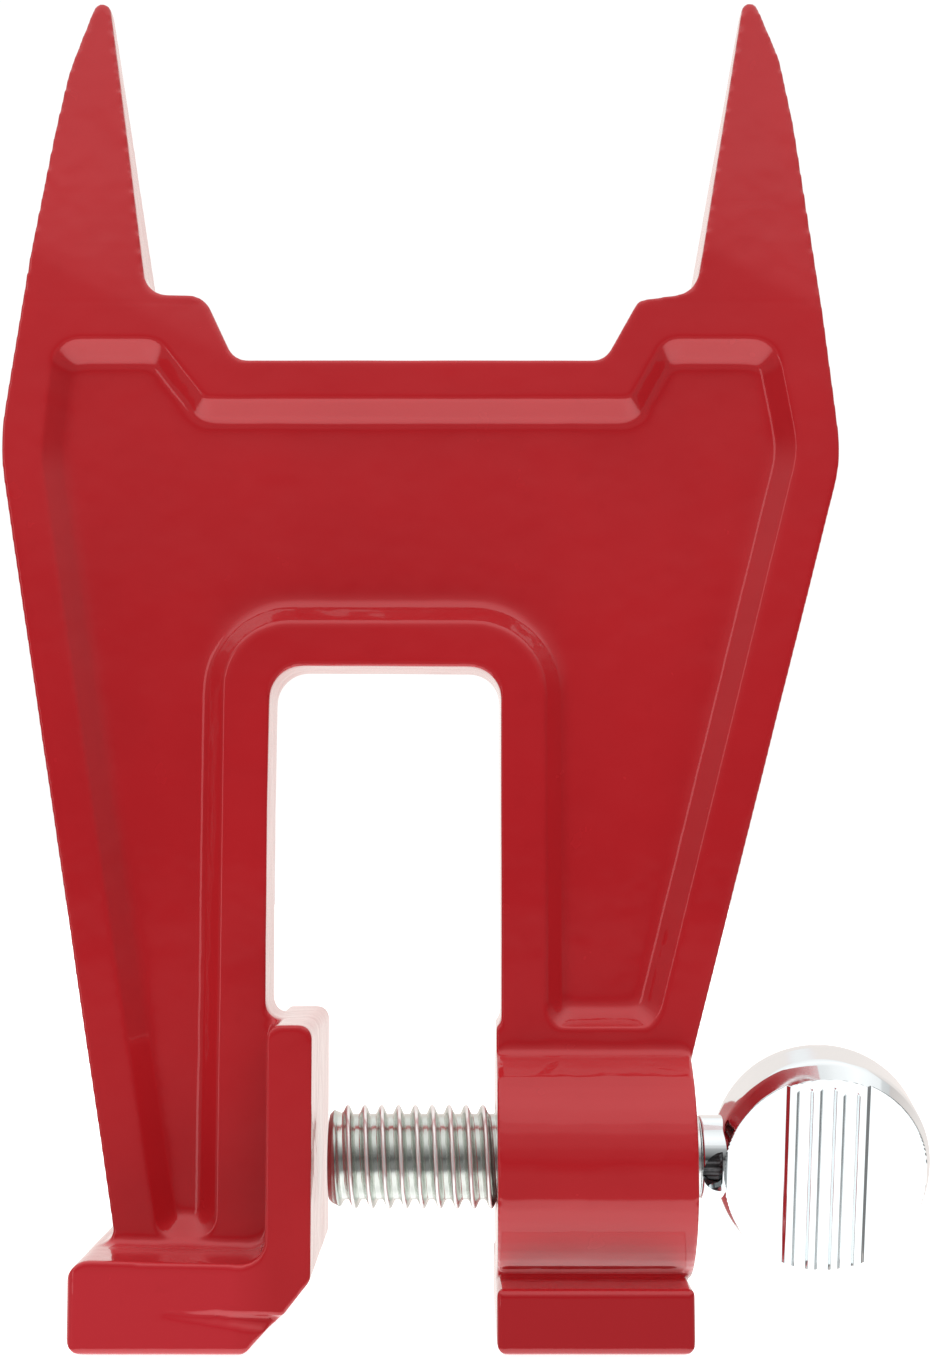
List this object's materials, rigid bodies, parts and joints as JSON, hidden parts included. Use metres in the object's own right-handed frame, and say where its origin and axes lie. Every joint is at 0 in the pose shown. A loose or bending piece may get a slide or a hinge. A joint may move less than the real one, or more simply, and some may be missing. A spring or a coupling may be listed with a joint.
{
  "type": "stump vise",
  "caption": "Cast filing vise with driving spikes, a fixed jaw and a thumb clamp screw that grips a saw guide bar.",
  "frame": {"origin": "centre of the bounding box in X and Y, at the level of the two feet; Y is 0 on the casting's mid-plane", "axes": "+X along the clamp screw from the fixed jaw towards the thumb knob, +Y across the casting away from the front face, +Z from the feet towards the spike tips; in use the vise is turned over and its spikes are driven down into a stump"},
  "size_m": [0.0871, 0.024, 0.1268],
  "materials": {
    "red_paint": "gloss",
    "zinc_steel": "satin",
    "knob_chrome": "polished"
  },
  "bodies": {
    "vise": {"vise_body": "red_paint"},
    "screw": {"clamp_screw": "zinc_steel"},
    "knob": {"thumb_knob": "knob_chrome"}
  },
  "joints": [
    {"name": "screw_travel", "type": "slide", "parent": "vise", "child": "screw", "axis": [1, 0, 0], "range_m": [-0.00079, 0.01588]},
    {"name": "screw_turn", "type": "hinge", "parent": "screw", "child": "knob", "pos_m": [0.0334, 0, 0.0155], "axis": [1, 0, 0], "range_deg": [-180.5, 3600.5]}
  ],
  "couplings": [
    {"joint": "screw_turn", "follows": "screw_travel", "rad_per_m": 3957.9}
  ]
}
